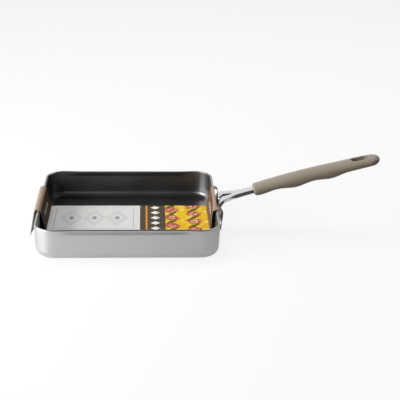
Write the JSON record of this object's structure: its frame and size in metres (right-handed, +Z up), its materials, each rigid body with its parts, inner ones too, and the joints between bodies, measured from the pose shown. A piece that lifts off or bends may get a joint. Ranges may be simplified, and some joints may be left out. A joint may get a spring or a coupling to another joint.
{
  "type": "square frying pan",
  "caption": "Square frying pan with brushed metal walls, a dark non-stick lining, a riveted steel arm, a finger-grooved grip with a hanging hole, and a lift-off card sleeve.",
  "frame": {"origin": "middle of the pan's base, on the surface that the pan stands on", "axes": "+X out along the handle, +Z up, +Y across the pan"},
  "size_m": [0.3942, 0.2, 0.0873],
  "materials": {
    "brushed_aluminium": "brushed, satin",
    "nonstick_coat": "satin non-stick coat with a fine fleck",
    "base_steel": "satin, turned",
    "polished_steel": "polished",
    "rivet_aluminium": "satin",
    "grip_polymer": "soft-touch satin, taupe",
    "printed_card": "matt printed card"
  },
  "bodies": {
    "pan": {"pan_body": "brushed_aluminium", "nonstick_lining": "nonstick_coat", "base_plate": "base_steel", "handle_bracket": "polished_steel", "rivet_front": "rivet_aluminium", "rivet_back": "rivet_aluminium", "grip": "grip_polymer", "grip_screw": "polished_steel"},
    "sleeve": {"card_sleeve": "printed_card"}
  },
  "joints": [
    {"name": "sleeve_lift", "type": "slide", "parent": "pan", "child": "sleeve", "axis": [0, 0, 1], "range_m": [0, 0.08]}
  ]
}
